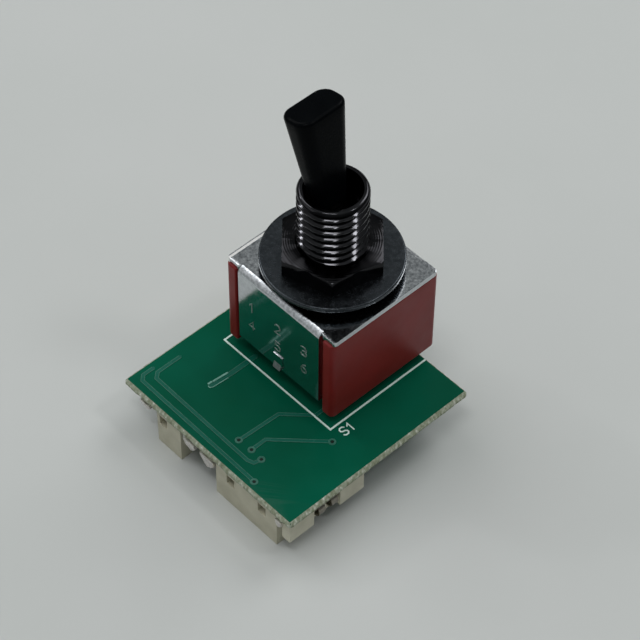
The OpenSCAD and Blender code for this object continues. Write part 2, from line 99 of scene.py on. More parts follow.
def feed(nt, value, socket):
    """Links a node's output to a socket, or sets the socket to a number or colour."""
    if isinstance(value, bpy.types.NodeSocket):
        nt.links.new(value, socket)
    else:
        socket.default_value = value


def source(shader, name):
    """The output that is linked to one of a shader's sockets."""
    return shader.inputs[name].links[0].from_socket


def calc(nt, operation, *values):
    """A math node's result; each value is a number or another node's output."""
    node = nt.nodes.new("ShaderNodeMath")
    node.operation = operation
    for socket, value in zip(node.inputs, values):
        feed(nt, value, socket)
    return node.outputs["Value"]


def split(nt, vector):
    node = nt.nodes.new("ShaderNodeSeparateXYZ")
    nt.links.new(vector, node.inputs["Vector"])
    return node.outputs


def rescale(nt, value, from_low, from_high, to_low, to_high):
    node = nt.nodes.new("ShaderNodeMapRange")
    node.inputs["From Min"].default_value = from_low
    node.inputs["From Max"].default_value = from_high
    node.inputs["To Min"].default_value = to_low
    node.inputs["To Max"].default_value = to_high
    nt.links.new(value, node.inputs["Value"])
    return node.outputs["Result"]


def mix_colour(nt, share, first, second):
    """The first colour where share is 0 and the second where it is 1."""
    node = nt.nodes.new("ShaderNodeMix")
    node.data_type = "RGBA"
    nt.links.new(share, node.inputs["Factor"])
    feed(nt, first, node.inputs[MIX_FIRST])
    feed(nt, second, node.inputs[MIX_SECOND])
    return node.outputs[MIX_RESULT]


def ramp(nt, value, stops):
    """A colour ramp whose stops are pairs of a position and a colour."""
    node = nt.nodes.new("ShaderNodeValToRGB")
    elements = node.color_ramp.elements
    while len(elements) < len(stops):
        elements.new(0.5)
    for k, (position, colour) in enumerate(stops):
        elements[k].position = position
        elements[k].color = (*colour, 1)
    nt.links.new(value, node.inputs["Fac"])
    return node.outputs["Color"]


def noise(nt, coord, scale, detail=3.0, stretch=None):
    if stretch:
        mapping = nt.nodes.new("ShaderNodeMapping")
        mapping.inputs["Scale"].default_value = stretch
        nt.links.new(coord, mapping.inputs["Vector"])
        coord = mapping.outputs["Vector"]
    node = nt.nodes.new("ShaderNodeTexNoise")
    node.inputs["Scale"].default_value = scale
    node.inputs["Detail"].default_value = detail
    nt.links.new(coord, node.inputs["Vector"])
    return node.outputs["Fac"]


# Materials
def finish(name, dark, light, rough, metal=0.0, scale=900.0, spec=0.5, relief=None):
    """A surface whose colour and gloss vary a little; relief is a depth in millimetres and a noise scale."""
    m = bpy.data.materials.new(name)
    m.use_nodes = True
    nt = m.node_tree
    shader = nt.nodes["Principled BSDF"]
    at = nt.nodes.new("ShaderNodeTexCoord").outputs["Object"]
    colour = ramp(nt, noise(nt, at, scale, detail=4.0), [(NOISE_LOW, dark), (NOISE_HIGH, light)])
    gloss = rescale(nt, noise(nt, at, scale * GLOSS_FINER), NOISE_LOW, NOISE_HIGH, *rough)
    nt.links.new(colour, shader.inputs["Base Color"])
    nt.links.new(gloss, shader.inputs["Roughness"])
    shader.inputs["Metallic"].default_value = metal
    shader.inputs["Specular IOR Level"].default_value = spec
    if relief:
        depth, relief_scale = relief
        bump = nt.nodes.new("ShaderNodeBump")
        bump.inputs["Strength"].default_value = 1.0
        bump.inputs["Distance"].default_value = depth * MM
        nt.links.new(noise(nt, at, relief_scale), bump.inputs["Height"])
        nt.links.new(bump.outputs["Normal"], shader.inputs["Normal"])
    return m


def turned(m, spacing, depth):
    """Adds fine turned rings about the bushing's axis to the faces that look up."""
    nt = m.node_tree
    at = nt.nodes.new("ShaderNodeTexCoord")
    wave = nt.nodes.new("ShaderNodeTexWave")
    wave.wave_type = "RINGS"
    wave.rings_direction = "Z"
    wave.inputs["Scale"].default_value = 2 * math.pi / (WAVE_RATE * spacing * MM)
    nt.links.new(at.outputs["Object"], wave.inputs["Vector"])
    bump = nt.nodes.new("ShaderNodeBump")
    bump.inputs["Distance"].default_value = depth * MM
    nt.links.new(split(nt, at.outputs["Normal"])["Z"], bump.inputs["Strength"])
    nt.links.new(wave.outputs["Fac"], bump.inputs["Height"])
    nt.links.new(bump.outputs["Normal"], nt.nodes["Principled BSDF"].inputs["Normal"])
    return m


def bent_steel():
    """Bright plated sheet, rougher over the bends, with a highlight painted as a near-white matt strip along one
    edge of the plate.
    """
    upright_grain = 0.3
    upright_steel = (0.56, 0.585, 0.61, 1)
    bend_rough = 0.75
    # Near-white colour of the highlight painted along the plate's edge
    painted_highlight_steel = (0.97, 0.97, 0.96, 1)
    painted_highlight_reach = 0.5 * MM
    painted_highlight_band = [(0.16, BLACK), (0.28, WHITE), (0.56, WHITE), (0.72, BLACK)]

    m = finish("bright_sheet", (0.27, 0.29, 0.31), (0.79, 0.82, 0.85), (0.07, 0.16), metal=1.0,
               scale=4200.0, relief=(0.006, 3400.0))
    nt = m.node_tree
    shader = nt.nodes["Principled BSDF"]
    gloss = source(shader, "Roughness")
    grain = source(shader, "Base Color")
    bump = source(shader, "Normal").node
    at = nt.nodes.new("ShaderNodeTexCoord")
    facing = split(nt, at.outputs["Normal"])

    # The grain is strong on the flat plate and calm on the upright legs
    grainy = rescale(nt, facing["Z"], 0, 1, upright_grain, 1)
    nt.links.new(grainy, bump.inputs["Strength"])
    colour = mix_colour(nt, grainy, upright_steel, grain)

    # A face that looks both up and along Y belongs to a bend
    bend = calc(nt, "ABSOLUTE", calc(nt, "MULTIPLY", facing["Y"], facing["Z"]))
    rough = calc(nt, "MULTIPLY_ADD", bend, bend_rough, gloss)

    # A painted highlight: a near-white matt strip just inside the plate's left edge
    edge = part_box("frame")[0].x
    inset = rescale(nt, split(nt, at.outputs["Object"])["X"], edge, edge + painted_highlight_reach, 0, 1)
    painted_highlight = ramp(nt, inset, painted_highlight_band)
    nt.links.new(calc(nt, "MAXIMUM", painted_highlight, rough), shader.inputs["Roughness"])
    nt.links.new(mix_colour(nt, painted_highlight, colour, painted_highlight_steel), shader.inputs["Base Color"])
    return m


def board_finish():
    """Green lacquer on the flat sides, pale rough laminate on the cut edges."""
    flat_limit = 0.9
    edge_rough = 0.75
    fibre_scale = 3600.0
    fibre_stretch = (1, 1, 0.4)
    fibres = [(0.3, (0.21, 0.23, 0.15)), (0.5, (0.34, 0.38, 0.28)), (0.6, (0.45, 0.48, 0.39)),
              (0.72, (0.74, 0.77, 0.68))]

    m = finish("board_lacquer", (0.0012, 0.088, 0.047), (0.002, 0.108, 0.062), (0.15, 0.22),
               scale=150.0, spec=0.07, relief=(0.004, 900.0))
    nt = m.node_tree
    shader = nt.nodes["Principled BSDF"]
    green = source(shader, "Base Color")
    gloss = source(shader, "Roughness")
    at = nt.nodes.new("ShaderNodeTexCoord")
    laminate = ramp(nt, noise(nt, at.outputs["Object"], fibre_scale, 5.0, fibre_stretch), fibres)
    upward = calc(nt, "ABSOLUTE", split(nt, at.outputs["Normal"])["Z"])
    flat = calc(nt, "GREATER_THAN", upward, flat_limit)
    rough = rescale(nt, flat, 0, 1, edge_rough, 0)
    nt.links.new(mix_colour(nt, flat, laminate, green), shader.inputs["Base Color"])
    nt.links.new(calc(nt, "MAXIMUM", rough, gloss), shader.inputs["Roughness"])
    return m


def black_nut():
    """Black plating over the rings that turning left on the nut's top."""
    plating = finish("turned_black_plating", (0.016, 0.016, 0.018), (0.025, 0.025, 0.027), (0.1, 0.16),
                     metal=1.0)
    return turned(plating, spacing=0.2, depth=0.008)


# Each look by its name: a darker and a lighter colour, a range of roughness, and what else it needs
LOOK = {
    "board": board_finish(),
    "trace": finish("trace_lacquer", (0.005, 0.11, 0.072), (0.008, 0.13, 0.088), (0.22, 0.32),
                    scale=300.0, spec=0.2),
    # Lighter green: painted glints along the tracks' edges, and the copper tint of the via rings
    "trace_edge": finish("lighter_copper_and_painted_glint", (0.02, 0.13, 0.09), (0.05, 0.19, 0.14), (0.25, 0.4),
                         scale=1800.0, spec=0.4),
    # Painted glints: light green for the highlights on the short wide track's raised edge
    "painted_track_glint": finish("track_glint_paint", (0.1, 0.3, 0.22), (0.24, 0.5, 0.42), (0.3, 0.45),
                        scale=2400.0, spec=0.4),
    "print": finish("white_print", (0.72, 0.9, 0.83), (0.82, 0.97, 0.91), (0.5, 0.62),
                    scale=3000.0, spec=0.3),
    # Painted shade: a near-black disc where the via's hole lies in shade
    "hole": finish("via_hole_painted_shade", (0.003, 0.012, 0.008), (0.006, 0.02, 0.012), (0.4, 0.6),
                   scale=3000.0, spec=0.2),
    "red_case": finish("red_moulding", (0.198, 0.009, 0.009), (0.238, 0.0125, 0.0125), (0.34, 0.44),
                       scale=350.0, spec=0.3, relief=(0.004, 2500.0)),
    "steel": bent_steel(),
    "pressed": finish("pressed_edge", (0.36, 0.41, 0.39), (0.54, 0.59, 0.57), (0.4, 0.55), metal=1.0,
                      scale=3000.0),
    "pressed_mark": finish("pressed_mark", (0.24, 0.27, 0.27), (0.38, 0.41, 0.41), (0.5, 0.65), metal=1.0,
                           scale=3000.0),
    "black_metal": finish("gloss_black_plating", (0.03, 0.03, 0.033), (0.045, 0.045, 0.049), (0.08, 0.15),
                          metal=1.0),
    "black_nut": black_nut(),
    "black_washer": finish("satin_black_plating", (0.046, 0.053, 0.06), (0.07, 0.079, 0.088), (0.2, 0.3),
                           metal=1.0, scale=1600.0, relief=(0.0015, 5000.0)),
    "dark_steel": finish("dark_steel", (0.03, 0.03, 0.032), (0.05, 0.05, 0.052), (0.3, 0.4), metal=1.0),
    "black_grip": finish("satin_black_grip", (0.0012, 0.0017, 0.0022), (0.002, 0.0027, 0.0034), (0.24, 0.32),
                         scale=500.0, spec=0.028, relief=(0.002, 2500.0)),
    "nylon": finish("natural_nylon", (0.6, 0.6, 0.55), (0.7, 0.69, 0.64), (0.45, 0.55)),
    "spring_wire": finish("spring_wire", (0.45, 0.45, 0.45), (0.6, 0.6, 0.6), (0.2, 0.35), metal=1.0),
    "contact": finish("contact_metal", (0.6, 0.52, 0.36), (0.72, 0.66, 0.5), (0.25, 0.4), metal=1.0),
    "tin": finish("tinned_metal", (0.5, 0.5, 0.48), (0.66, 0.66, 0.64), (0.25, 0.45), metal=1.0,
                  scale=2500.0, relief=(0.01, 3500.0)),
    "sealant": finish("dark_resin", (0.012, 0.012, 0.012), (0.03, 0.03, 0.03), (0.25, 0.5)),
    "solder": finish("solder", (0.56, 0.53, 0.51), (0.84, 0.81, 0.78), (0.35, 0.55), metal=1.0,
                     scale=2800.0, relief=(0.03, 3600.0)),
    "ivory": finish("ivory_nylon", (0.5, 0.48, 0.365), (0.6, 0.58, 0.455), (0.5, 0.62),
                    scale=700.0, relief=(0.006, 3500.0)),
    # Painted light: the same nylon made lighter for the edge block, whose sides get too little light
    "ivory_painted_lighter": finish("ivory_nylon_painted_lighter", (0.56, 0.54, 0.42), (0.66, 0.64, 0.51), (0.5, 0.62),
                          scale=700.0, relief=(0.006, 3500.0)),
    "pin_metal": finish("pin_metal", (0.2, 0.185, 0.155), (0.3, 0.28, 0.24), (0.25, 0.4), metal=1.0),
}
for name, ob in NODES.items():
    ob.data.materials.clear()
    ob.data.materials.append(LOOK[SLOT[name]])


# Making pieces
def piece(name, verts, faces, look, body="base", stands_for=(), sharp=35.0):
    """A mesh given in millimetres, with edges sharper than so many degrees kept sharp."""
    me = bpy.data.meshes.new(name)
    me.from_pydata([Vector(v) * MM for v in verts], [], faces)
    me.materials.append(LOOK[look])
    bm = bmesh.new()
    bm.from_mesh(me)
    bmesh.ops.recalc_face_normals(bm, faces=bm.faces)
    bm.to_mesh(me)
    bm.free()
    me.shade_smooth()
    me.set_sharp_from_angle(angle=math.radians(sharp))
    ob = bpy.data.objects.new(name, me)
    scene.collection.objects.link(ob)
    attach(ob, body)
    if stands_for:
        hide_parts(*stands_for)
    return ob


def gather(name, parts, look):
    """One piece of several sets of points and faces."""
    verts = []
    faces = []
    for part_verts, part_faces in parts:
        faces += [tuple(i + len(verts) for i in face) for face in part_faces]
        verts += part_verts
    piece(name, verts, faces, look)


# CAD nodes with rounded edges; angles are in degrees
WELD = 1e-7
FLAT_ANGLE = 0.6
ROUNDED_ANGLE = 25.0
SHADED_ANGLE = 40.0


def ragged_side(bm, axis, wall, inward, depth):
    """Cuts up the long edges along one side of the board and bites into them unevenly."""
    reach = 0.4 * MM
    skin = 0.12 * MM
    shortest_cut = 5 * MM
    cuts = 90
    mean, swell, nick, rise = 0.5, 0.3, 0.4, 0.4
    swell_scale, nick_scale, rise_scale = 1300, 4100, 3300
    along = [e for e in bm.edges if e.calc_length() > shortest_cut
             and all(abs(v.co[axis] - wall) < reach for v in e.verts)]
    bmesh.ops.subdivide_edges(bm, edges=along, cuts=cuts, use_grid_fill=True)
    for v in bm.verts:
        if abs(v.co[axis] - wall) < skin:
            bite = mean + swell * wave_noise(v.co * swell_scale) + nick * wave_noise(v.co * nick_scale)
            v.co[axis] += inward * depth * max(0.0, bite)
            v.co.z += rise * depth * wave_noise(v.co * rise_scale)


def round_corners(bm, low, high, radius):
    """Draws the points past the board's rounded corners in to them."""
    for v in bm.verts:
        past = Vector((max(low.x + radius - v.co.x, 0.0, v.co.x - high.x + radius),
                       max(low.y + radius - v.co.y, 0.0, v.co.y - high.y + radius)))
        if past.x > 0 and past.y > 0 and past.length > radius:
            pull = past * (1 - radius / past.length)
            v.co.x -= math.copysign(pull.x, v.co.x)
            v.co.y -= math.copysign(pull.y, v.co.y)


def tear_web(bm, low, high):
    """The broken web round the board, always inside its outline; the sides that face Y are torn most."""
    for axis, depth in ((0, 0.07 * MM), (1, 0.16 * MM)):
        ragged_side(bm, axis, low[axis], 1, depth)
        ragged_side(bm, axis, high[axis], -1, depth)
    round_corners(bm, low, high, radius=0.6 * MM)


def soften(node, width, segments=3, look=None, rework=None):
    """A copy of a CAD node with its sharp edges rounded, kept inside the node's box."""
    me = NODES[node].data.copy()
    me.name = node + "_soft"
    if look:
        me.materials[0] = LOOK[look]
    bm = bmesh.new()
    bm.from_mesh(me)
    bmesh.ops.remove_doubles(bm, verts=bm.verts, dist=WELD)
    bmesh.ops.dissolve_limit(bm, angle_limit=math.radians(FLAT_ANGLE), verts=bm.verts, edges=bm.edges)
    low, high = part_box(node)
    limit = math.radians(ROUNDED_ANGLE)
    edges = [e for e in bm.edges if len(e.link_faces) == 2 and e.calc_face_angle(0.0) > limit]
    bmesh.ops.bevel(bm, geom=edges, offset=width * MM, offset_type="OFFSET", segments=segments, profile=0.5,
                    affect="EDGES", clamp_overlap=True)
    if rework:
        rework(bm, low, high)
    bmesh.ops.triangulate(bm, faces=[f for f in bm.faces if len(f.verts) > 4])
    for v in bm.verts:
        v.co = [min(max(c, a), b) for c, a, b in zip(v.co, low, high)]
    bm.to_mesh(me)
    bm.free()
    me.shade_smooth()
    me.set_sharp_from_angle(angle=math.radians(SHADED_ANGLE))
    ob = bpy.data.objects.new(node + "_soft", me)
    ob.modifiers.new("even_shading", "WEIGHTED_NORMAL").keep_sharp = True
    scene.collection.objects.link(ob)
    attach(ob, BODY[node])
    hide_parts(node)


soften("case", width=0.18)
soften("frame", width=0.14)
soften("circuit_board", width=0.03, segments=2, rework=tear_web)
soften("hex_nut", width=0.07, look="black_nut")
soften("washer", width=0.13, segments=4)
# The edge block takes a lighter copy of the nylon, as painted light
soften("edge_block", width=0.05, segments=2, look="ivory_painted_lighter")
for node in ("housing_1", "housing_2", "housing_4"):
    soften(node, width=0.05, segments=2)
for node in ("tabs_1", "tabs_2", "tabs_4"):
    soften(node, width=0.04, segments=2)


# Bushing with its helical thread, in millimetres
BARREL_TOP = high_mm("bushing", "z")
BARREL_LOW = low_mm("bushing", "z")
FLANGE_R = high_mm("bushing", "x")
FLANGE_H = 0.7
THREAD_R = 3.0
CORE_R = 2.61
PITCH = 0.75
CREST = 0.12
FLANK = 0.225
THREAD_START = high_mm("hex_nut", "z") + 0.01
ROWS_PER_PITCH = 20
RUN_OUT = 0.3
FADE = 0.2
# How far each point of the rounded crown is drawn in, and how far it lies below the top
CROWN = ((0.09, 0.1), (0.2, 0.02), (0.3, 0.0))
BORE_R = 2.35
MOUTH = 0.15
LIP_R = 1.757
LIP_H = 0.5
SOCKET_R = 2.297
LIP_Z = PIVOT + math.sqrt(SOCKET_R ** 2 - LIP_R ** 2)


def thread_cut(z, turn):
    """Depth of the thread at a height and an angle given in turns."""
    phase = (z / PITCH - turn) % 1.0
    off = min(phase, 1.0 - phase) * PITCH
    cut = min(1.0, max(0.0, (off - CREST / 2) / FLANK))
    fade = min(1.0, max(0.0, (BARREL_TOP - RUN_OUT - z) / FADE))
    return (THREAD_R - CORE_R) * cut * fade


def barrel_profile():
    """Radius and height round the barrel's wall: down the bore, round the flange and up the thread."""
    bore = [(BORE_R + MOUTH, BARREL_TOP), (BORE_R, BARREL_TOP - MOUTH), (BORE_R, LIP_Z + LIP_H)]
    socket = [(LIP_R, LIP_Z + LIP_H), (LIP_R, LIP_Z), (SOCKET_R, LIP_Z), (SOCKET_R, BARREL_LOW)]
    flange = [(FLANGE_R, BARREL_LOW), (FLANGE_R, BARREL_LOW + FLANGE_H), (CORE_R, BARREL_LOW + FLANGE_H)]
    length = BARREL_TOP - RUN_OUT - THREAD_START
    steps = int((BARREL_TOP - RUN_OUT) / (PITCH / ROWS_PER_PITCH))
    thread = [(CORE_R, THREAD_START)]
    thread += [(THREAD_R, THREAD_START + length * k / steps) for k in range(steps + 1)]
    crown = [(THREAD_R - inset, BARREL_TOP - drop) for inset, drop in CROWN]
    return bore + socket + flange + thread + crown


def threaded_barrel():
    sides = 120
    profile = barrel_profile()
    rows = len(profile)
    verts = []
    faces = []
    for k in range(sides):
        a = 2 * math.pi * k / sides
        for r, z in profile:
            if r == THREAD_R:
                r -= thread_cut(z, k / sides)
            verts.append((r * math.cos(a), r * math.sin(a), z))
    for k in range(sides):
        near = k * rows
        far = (k + 1) % sides * rows
        for i in range(rows):
            j = (i + 1) % rows
            faces.append((near + i, near + j, far + j, far + i))
    piece("threaded_barrel", verts, faces, "black_metal", stands_for=("bushing",))


threaded_barrel()


# Paddle, built from rounded sections up the lever's own axis, in millimetres above the pivot
PADDLE_LOW = 2.5
PADDLE_HIGH = 12.3
PADDLE_EDGE = 0.35
PADDLE_FOOT = 0.1
PADDLE_FOOT_INSET = 0.12
# Width across the throw, depth along it and corner radius, at the foot and at the top
PADDLE_BASE = (2.9, 2.1, 0.85)
PADDLE_TOP = (5.05, 3.1, 1.2)


def paddle_rows():
    """Heights of the sections and how far each is drawn in: the foot, the long sides, the rounded top."""
    side_steps, edge_steps = 12, 6
    foot = PADDLE_LOW + PADDLE_FOOT
    shoulder = PADDLE_HIGH - PADDLE_EDGE
    rows = [(PADDLE_LOW, PADDLE_FOOT_INSET), (foot, 0.0)]
    rows += [(foot + (shoulder - foot) * k / side_steps, 0.0) for k in range(1, side_steps + 1)]
    for k in range(1, edge_steps + 1):
        a = math.radians(90 * k / edge_steps)
        rows.append((shoulder + PADDLE_EDGE * math.sin(a), PADDLE_EDGE * (1 - math.cos(a))))
    return rows


def paddle_section(z, inset):
    """A rounded rectangle of points at one height."""
    steps = 10
    share = min((z - PADDLE_LOW) / (PADDLE_HIGH - PADDLE_EDGE - PADDLE_LOW), 1.0)
    width, depth, corner = (b + (t - b) * share for b, t in zip(PADDLE_BASE, PADDLE_TOP))
    radius = corner - inset
    x = depth / 2 - inset - radius
    y = width / 2 - inset - radius
    points = []
    for side_x, side_y, first in ((1, 1, 0), (-1, 1, 90), (-1, -1, 180), (1, -1, 270)):
        for k in range(steps + 1):
            a = math.radians(first + 90 * k / steps)
            points.append((side_x * x + radius * math.cos(a), side_y * y + radius * math.sin(a), z))
    return points


def paddle():
    sections = [paddle_section(z, inset) for z, inset in paddle_rows()]
    n = len(sections[0])
    top = (len(sections) - 1) * n
    faces = []
    for i in range(len(sections) - 1):
        for k in range(n):
            j = (k + 1) % n
            faces.append((i * n + k, i * n + j, (i + 1) * n + j, (i + 1) * n + k))
    faces.append(tuple(range(n))[::-1])
    faces.append(tuple(range(top, top + n)))
    lean = Matrix.Translation((0, 0, PIVOT)) @ Matrix.Rotation(math.radians(-LEAN), 4, "Y")
    verts = [lean @ Vector(v) for section in sections for v in section]
    piece("paddle_grip", verts, faces, "black_grip", body="lever", stands_for=("paddle",),
          sharp=50)


paddle()


# Plunger springs: true coils in place of the CAD springs
WIRE = 0.18 * MM
COIL_TURNS = 4
COIL_STEPS = 28
WIRE_SIDES = 10
# Share of the wire at each end that lies flat
COIL_END = 0.12


def spring_coil(k):
    node = f"spring_{k}"
    joint = JOINT[f"plunger_{k}_press"]
    up = Vector(joint["axis"]).normalized()
    out = up.orthogonal().normalized()
    across_coil = up.cross(out)
    centre = (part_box(node)[0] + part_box(node)[1]) / 2
    offsets = [v.co - centre for v in NODES[node].data.vertices]
    low = min(o.dot(up) for o in offsets)
    high = max(o.dot(up) for o in offsets)
    radius = max((o - up * o.dot(up)).length for o in offsets) - WIRE / 2
    n = COIL_TURNS * COIL_STEPS
    verts = []
    faces = []
    for i in range(n + 1):
        a = 2 * math.pi * i / COIL_STEPS
        climb = min(1.0, max(0.0, (i / n - COIL_END) / (1 - 2 * COIL_END)))
        way = out * math.cos(a) + across_coil * math.sin(a)
        spot = centre + way * radius + up * (low + WIRE / 2 + (high - low - WIRE) * climb)
        for b in (2 * math.pi * j / WIRE_SIDES for j in range(WIRE_SIDES)):
            verts.append((spot + (way * math.cos(b) + up * math.sin(b)) * (WIRE / 2)) / MM)
    for i in range(n):
        near = i * WIRE_SIDES
        far = near + WIRE_SIDES
        for j in range(WIRE_SIDES):
            t = (j + 1) % WIRE_SIDES
            faces.append((near + j, near + t, far + t, far + j))
    faces.append(tuple(range(WIRE_SIDES)))
    faces.append(tuple(n * WIRE_SIDES + j for j in range(WIRE_SIDES)))
    ob = piece(node + "_coil", verts, faces, "spring_wire", body=BODY[node], stands_for=(node,))
    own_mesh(ob)


for k in (1, 2):
    spring_coil(k)


# Raised strokes: lacquered tracks, printed lines and the figures on the leg are all drawn with these
CAP_DEGREES = (-60, -30, 0, 30, 60)
# At a sharp corner the step sideways grows to twice its length at most
MITRE_LIMIT = 0.5


def across(run, i, distance):
    """A step sideways from point i of a run, longer at a corner, so that the stroke keeps its width."""
    before = max(i, 1)
    after = min(i, len(run) - 2)
    a = (run[before] - run[before - 1]).normalized()
    b = (run[after + 1] - run[after]).normalized()
    n = Vector((-a.y - b.y, a.x + b.x)).normalized()
    return n * (distance / max(MITRE_LIMIT, n.dot(Vector((-a.y, a.x)))))


def beside(points, shift):
    """The same run of points, moved sideways."""
    run = [Vector(p) for p in points]
    return [p + across(run, i, shift) for i, p in enumerate(run)]


def cap(centre, direction, radius):
    """Points of a stroke's round end."""
    turn = math.atan2(direction.y, direction.x)
    angles = [turn + math.radians(d) for d in CAP_DEGREES]
    return [centre + Vector((math.cos(a), math.sin(a))) * radius for a in angles]


def strip(points, width, height, base, plane):
    """One flat raised stroke with round ends; plane maps (u, v, height) to millimetres in the frame."""
    run = [Vector(p) for p in points]
    half = width / 2
    left = [p + across(run, i, half) for i, p in enumerate(run)]
    right = [p - across(run, i, half) for i, p in enumerate(run)]
    ring = right + cap(run[-1], run[-1] - run[-2], half) + left[::-1] + cap(run[0], run[0] - run[1], half)
    n = len(ring)
    verts = [plane(p.x, p.y, base) for p in ring]
    verts += [plane(p.x, p.y, base + height) for p in ring]
    faces = [(k, (k + 1) % n, n + (k + 1) % n, n + k) for k in range(n)]
    # The top is filled stretch by stretch, so that bent strokes stay flat
    last_right = n + len(run) - 1
    first_left = last_right + len(CAP_DEGREES) + len(run)
    for i in range(len(run) - 1):
        faces.append((n + i, n + i + 1, first_left - i - 1, first_left - i))
    faces.append(tuple(range(last_right, last_right + len(CAP_DEGREES) + 2)))
    faces.append(tuple(range(first_left, first_left + len(CAP_DEGREES) + 1)) + (n,))
    return verts, faces


# What lies on the board, in millimetres: tracks, their edges, vias and print
SUNK = 0.005
TRACK = 0.34
WIDE_TRACK = 0.5
TRACKS = [
    ([(-8.45, -12.9), (-8.45, -14.0), (-8.0, -14.45), (5.9, -14.6), (6.3, -14.62)], TRACK),
    ([(-7.85, -10.4), (-7.85, -12.9), (-7.4, -13.4), (4.3, -13.55), (4.9, -13.35), (5.05, -12.7)], TRACK),
    ([(2.3, -12.6), (2.5, -8.4), (4.7, -6.2), (4.7, -4.2)], TRACK),
    ([(3.75, -12.5), (3.75, -11.0), (7.6, -7.15)], TRACK),
    ([(-3.65, -10.5), (-3.5, -8.3), (-3.5, -5.6)], WIDE_TRACK),
]
# Painted highlights along the short wide track: light green stretches that stand for glints on its raised edge
WIDE_PAINTED_GLINTS = [[(-3.95, -10.55), (-3.93, -10.25)], [(-3.88, -10.05), (-3.76, -8.6)]]
FINE_PAINTED_GLINT = [(-3.78, -10.74), (-3.55, -10.74), (-3.42, -10.5), (-3.3, -8.9)]
VIAS = [(6.34, -14.62), (5.05, -12.65), (2.28, -12.67), (3.76, -12.57), (7.68, -7.09)]


def on_board(u, v, h):
    return (u, v, BOARD_TOP + h)


def track(points, width, height):
    return strip(points, width, height, -SUNK, on_board)


def board_tracks():
    edge_inset = 0.02
    gather("tracks", [track(p, width, height=0.035) for p, width in TRACKS], "trace")
    # The shoulders are painted glints: thin lighter strips along each track's edges
    shoulders = [track(beside(p, side * (width / 2 - edge_inset)), width=0.05, height=0.04)
                 for p, width in TRACKS for side in (-1, 1)]
    gather("track_shoulders", shoulders, "trace_edge")
    # Painted glints along the short wide track
    rims = [track(p, width=0.17, height=0.06) for p in WIDE_PAINTED_GLINTS]
    rims.append(track(FINE_PAINTED_GLINT, width=0.07, height=0.05))
    gather("track_painted_glints", rims, "painted_track_glint")


def disc(centre, r_out, r_in, height, sides):
    """A ring raised on the board, with a sloping rim; a disc where r_in is next to nothing."""
    rim = 0.04
    u, v = centre
    verts = []
    faces = []
    for k in range(sides):
        a = 2 * math.pi * k / sides
        for r, h in ((r_out, 0), (r_out - rim, height), (r_in, height)):
            verts.append(on_board(u + r * math.cos(a), v + r * math.sin(a), h - SUNK))
    for k in range(sides):
        j = (k + 1) % sides
        faces.append((3 * k, 3 * j, 3 * j + 1, 3 * k + 1))
        faces.append((3 * k + 1, 3 * j + 1, 3 * j + 2, 3 * k + 2))
    return verts, faces


def board_vias():
    # The rings take the lighter strips' colour: copper under the lacquer, with painted glints
    rings = [disc(via, r_out=0.36, r_in=0.17, height=0.045, sides=20) for via in VIAS]
    gather("via_rings", rings, "trace_edge")
    # Near-black discs painted where the via holes fall into shade
    holes = [disc(via, r_out=0.19, r_in=0.001, height=0.039, sides=14) for via in VIAS]
    gather("via_hole_painted_shades", holes, "hole")


def lettering(u, v, h):
    """Letters read along +Y, beside the printed outline's corner."""
    size, start_x, start_y = 0.85, 7.95, -5.85
    return (start_x - size * v, start_y + size * u, BOARD_TOP + h)


def board_print():
    """The switch's printed outline, open at the back, and a plain designator, S1."""
    side, front = 6.66, -6.33
    back = BOARD_BACK - 0.4
    outline = [(-side, back), (-side, front), (side, front), (side, back)]
    letter_s = [(0.62, 0.86), (0.45, 1.0), (0.17, 1.0), (0.02, 0.84), (0.02, 0.66), (0.17, 0.53),
                (0.45, 0.47), (0.62, 0.34), (0.62, 0.16), (0.45, 0.0), (0.17, 0.0), (0.0, 0.14)]
    figure_1 = [(0.95, 0.75), (1.2, 1.0), (1.2, 0.0)]
    printed = [strip(outline, width=0.165, height=0.05, base=0.0, plane=on_board)]
    printed += [strip(p, width=0.16, height=0.012, base=0.0, plane=lettering) for p in (letter_s, figure_1)]
    gather("board_print", printed, "print")


board_tracks()
board_vias()
board_print()


# Solder heaped over the tabs beside the front connectors, in millimetres
def solder_bank(x, way, near, far, depth):
    """A lump under the board, from near to far out of a housing's end at x."""
    cols, rows = 15, 11
    set_back, half_thick, wrinkle = 0.1, 0.55, 0.05
    first, share = 0.06, 0.9
    end_round, side_round = 0.5, 0.45
    swell, swell_scale = 0.22, 2.3
    grain, grain_scale = 0.1, 5.1
    front = BOARD_FRONT + set_back
    under = high_mm("housing_1", "z")
    verts = []
    faces = []
    for i in range(cols):
        t = i / (cols - 1)
        rise = math.sin(math.pi * (first + share * t)) ** end_round
        u = x + way * (near + (far - near) * t)
        for j in range(rows):
            a = math.pi * j / (rows - 1)
            spot = Vector((u, j, x))
            lump = 1.0 + swell * wave_noise(spot * swell_scale) + grain * wave_noise(spot * grain_scale)
            drop = depth * rise * lump * math.sin(a) ** side_round
            verts.append((u, front + half_thick * (1 - math.cos(a)) - wrinkle * lump, under - drop))
    for i in range(cols - 1):
        for j in range(rows - 1):
            k = i * rows + j
            faces.append((k, k + 1, k + rows + 1, k + rows))
        faces.append((i * rows, (i + 1) * rows, (i + 2) * rows - 1, (i + 1) * rows - 1))
    faces.append(tuple(range(rows)))
    faces.append(tuple((cols - 1) * rows + j for j in range(rows)))
    return verts, faces


def tab_solder():
    banks = [
        solder_bank(low_mm("housing_1", "x"), -1, near=0.7, far=1.9, depth=0.9),
        solder_bank(high_mm("housing_1", "x"), 1, near=0.7, far=2.0, depth=1.35),
        solder_bank(low_mm("housing_2", "x"), -1, near=0.1, far=1.75, depth=1.5),
        solder_bank(high_mm("housing_2", "x"), 1, near=0.05, far=0.75, depth=1.2),
    ]
    gather("tab_solder", banks, "solder")


tab_solder()


